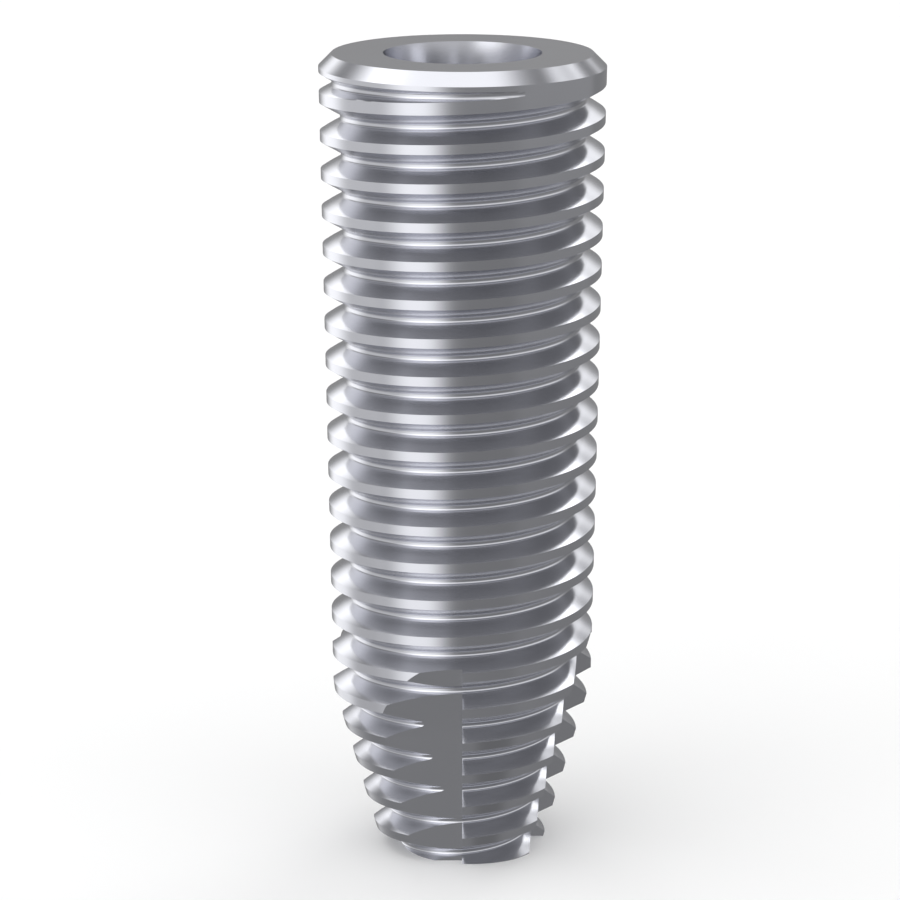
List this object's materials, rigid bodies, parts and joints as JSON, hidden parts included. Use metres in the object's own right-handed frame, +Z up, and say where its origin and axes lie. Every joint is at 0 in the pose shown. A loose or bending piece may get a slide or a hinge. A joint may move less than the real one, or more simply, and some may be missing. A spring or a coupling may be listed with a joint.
{
  "type": "dental implant",
  "caption": "Tapered self-tapping dental implant with a bevelled platform, a conical connection and cutting flutes at the tip.",
  "frame": {"origin": "centre of the flat tip, which the implant stands on", "axes": "+Z up the implant's axis to its platform; -Y faces the viewer, along the wall of one of the four cutting flutes"},
  "size_m": [0.0044, 0.0044, 0.013],
  "materials": {
    "titanium": "satin machined titanium"
  },
  "bodies": {
    "root": {"implant_body": "titanium"}
  },
  "joints": []
}
